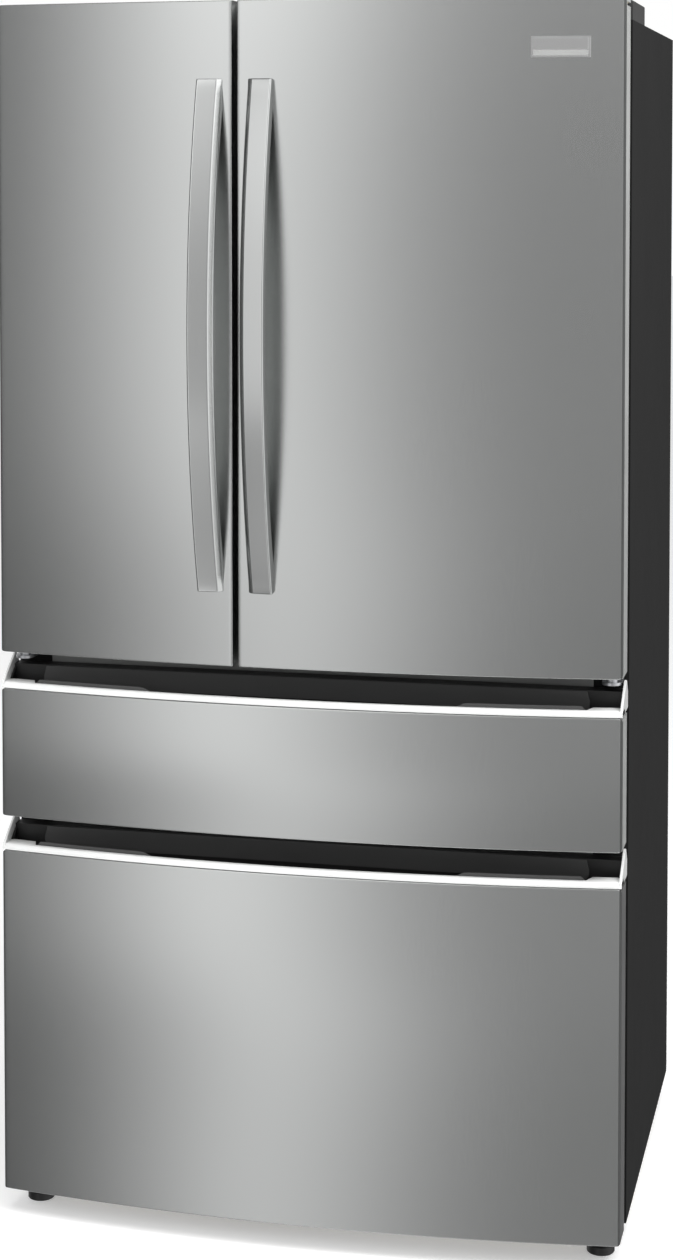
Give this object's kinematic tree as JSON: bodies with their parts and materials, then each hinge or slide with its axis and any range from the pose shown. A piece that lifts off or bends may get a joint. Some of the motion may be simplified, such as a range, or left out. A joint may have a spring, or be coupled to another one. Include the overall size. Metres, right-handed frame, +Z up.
{
  "type": "french door refrigerator",
  "caption": "Tall refrigerator with unequal crowned steel French doors, bowed bar handles, a full-width middle drawer and a freezer drawer below.",
  "frame": {"origin": "on the floor, at the middle of the overall box", "axes": "+Z up, the front with its doors and drawers faces -Y, +X to the right of a person facing it"},
  "size_m": [0.911, 0.791, 1.781],
  "materials": {
    "stainless": "satin",
    "handle_metal": "satin",
    "bright_trim": "gloss",
    "door_grey": "satin",
    "charcoal": "satin",
    "zinc_steel": "satin",
    "black_plastic": "satin",
    "dark_plastic": "matte",
    "white_plastic": "gloss",
    "clear_plastic": "gloss",
    "shelf_glass": "gloss",
    "insulation": "matte",
    "seal_rubber": "matte",
    "fin_metal": "satin",
    "black_metal": "satin",
    "badge_metal": "gloss"
  },
  "bodies": {
    "cabinet": {"cabinet_shell": "charcoal", "rear_panel": "zinc_steel", "base_frame": "zinc_steel", "cabinet_foam": "insulation", "fridge_liner": "white_plastic", "flex_liner": "white_plastic", "freezer_liner": "white_plastic", "cross_rails": "door_grey", "hinge_covers": "dark_plastic", "door_hinges": "zinc_steel", "hinge_screws": "zinc_steel", "levelling_feet": "black_plastic", "compressor": "black_metal", "condenser": "black_metal", "machine_cover": "zinc_steel", "fan_motors": "black_plastic", "evaporator": "fin_metal", "evaporator_cover": "white_plastic", "duct_panel": "white_plastic", "shelf_glass": "shelf_glass", "shelf_frames": "white_plastic", "crispers": "clear_plastic", "drawer_rails": "zinc_steel"},
    "left_door": {"left_handle": "handle_metal", "left_door_skin": "stainless", "left_door_frame": "door_grey", "left_door_foam": "insulation", "left_door_liner": "white_plastic", "left_door_gasket": "seal_rubber", "left_door_bins": "clear_plastic"},
    "right_door": {"right_handle": "handle_metal", "right_door_skin": "stainless", "right_door_frame": "door_grey", "right_door_foam": "insulation", "right_door_liner": "white_plastic", "right_door_gasket": "seal_rubber", "right_door_bins": "clear_plastic", "badge": "badge_metal"},
    "mullion": {"mullion_bar": "dark_plastic"},
    "flex_drawer": {"flex_drawer_skin": "stainless", "flex_drawer_trim": "bright_trim", "flex_drawer_pocket": "black_plastic", "flex_drawer_frame": "door_grey", "flex_drawer_core": "insulation", "flex_drawer_gasket": "seal_rubber", "flex_drawer_rails": "zinc_steel", "flex_drawer_bin": "clear_plastic"},
    "freezer_drawer": {"freezer_drawer_skin": "stainless", "freezer_drawer_trim": "bright_trim", "freezer_drawer_pocket": "black_plastic", "freezer_drawer_frame": "door_grey", "freezer_drawer_core": "insulation", "freezer_drawer_gasket": "seal_rubber", "freezer_drawer_rails": "zinc_steel", "freezer_drawer_bin": "clear_plastic", "freezer_basket": "white_plastic"},
    "front_wheels": {"front_rollers": "dark_plastic"},
    "rear_wheels": {"rear_rollers": "dark_plastic"},
    "condenser_rotor": {"condenser_fan": "black_plastic"},
    "evaporator_rotor": {"evaporator_fan": "white_plastic"}
  },
  "joints": [
    {"name": "door_left_hinge", "type": "hinge", "parent": "cabinet", "child": "left_door", "pos_m": [-0.435, -0.2565, 1.3], "axis": [0, 0, -1], "range_deg": [0, 115]},
    {"name": "door_right_hinge", "type": "hinge", "parent": "cabinet", "child": "right_door", "pos_m": [0.435, -0.2565, 1.3], "axis": [0, 0, 1], "range_deg": [0, 115]},
    {"name": "mullion_fold", "type": "hinge", "parent": "left_door", "child": "mullion", "pos_m": [-0.146, -0.214, 1.28], "axis": [0, 0, 1], "range_deg": [0, 88]},
    {"name": "drawer_flex_slide", "type": "slide", "parent": "cabinet", "child": "flex_drawer", "axis": [0, -1, 0], "range_m": [0, 0.36]},
    {"name": "drawer_freezer_slide", "type": "slide", "parent": "cabinet", "child": "freezer_drawer", "axis": [0, -1, 0], "range_m": [0, 0.36]},
    {"name": "fan_condenser_spin", "type": "hinge", "parent": "cabinet", "child": "condenser_rotor", "pos_m": [-0.12, 0.312, 0.166], "axis": [1, 0, 0], "continuous": true},
    {"name": "fan_evaporator_spin", "type": "hinge", "parent": "cabinet", "child": "evaporator_rotor", "pos_m": [0, 0.283, 0.486], "axis": [0, 1, 0], "continuous": true},
    {"name": "roller_front_spin", "type": "hinge", "parent": "cabinet", "child": "front_wheels", "pos_m": [0, -0.15, 0.022], "axis": [1, 0, 0], "continuous": true},
    {"name": "roller_rear_spin", "type": "hinge", "parent": "cabinet", "child": "rear_wheels", "pos_m": [0, 0.34, 0.022], "axis": [1, 0, 0], "continuous": true}
  ],
  "couplings": [
    {"joint": "mullion_fold", "follows": "door_left_hinge", "ratio": 0.75}
  ]
}
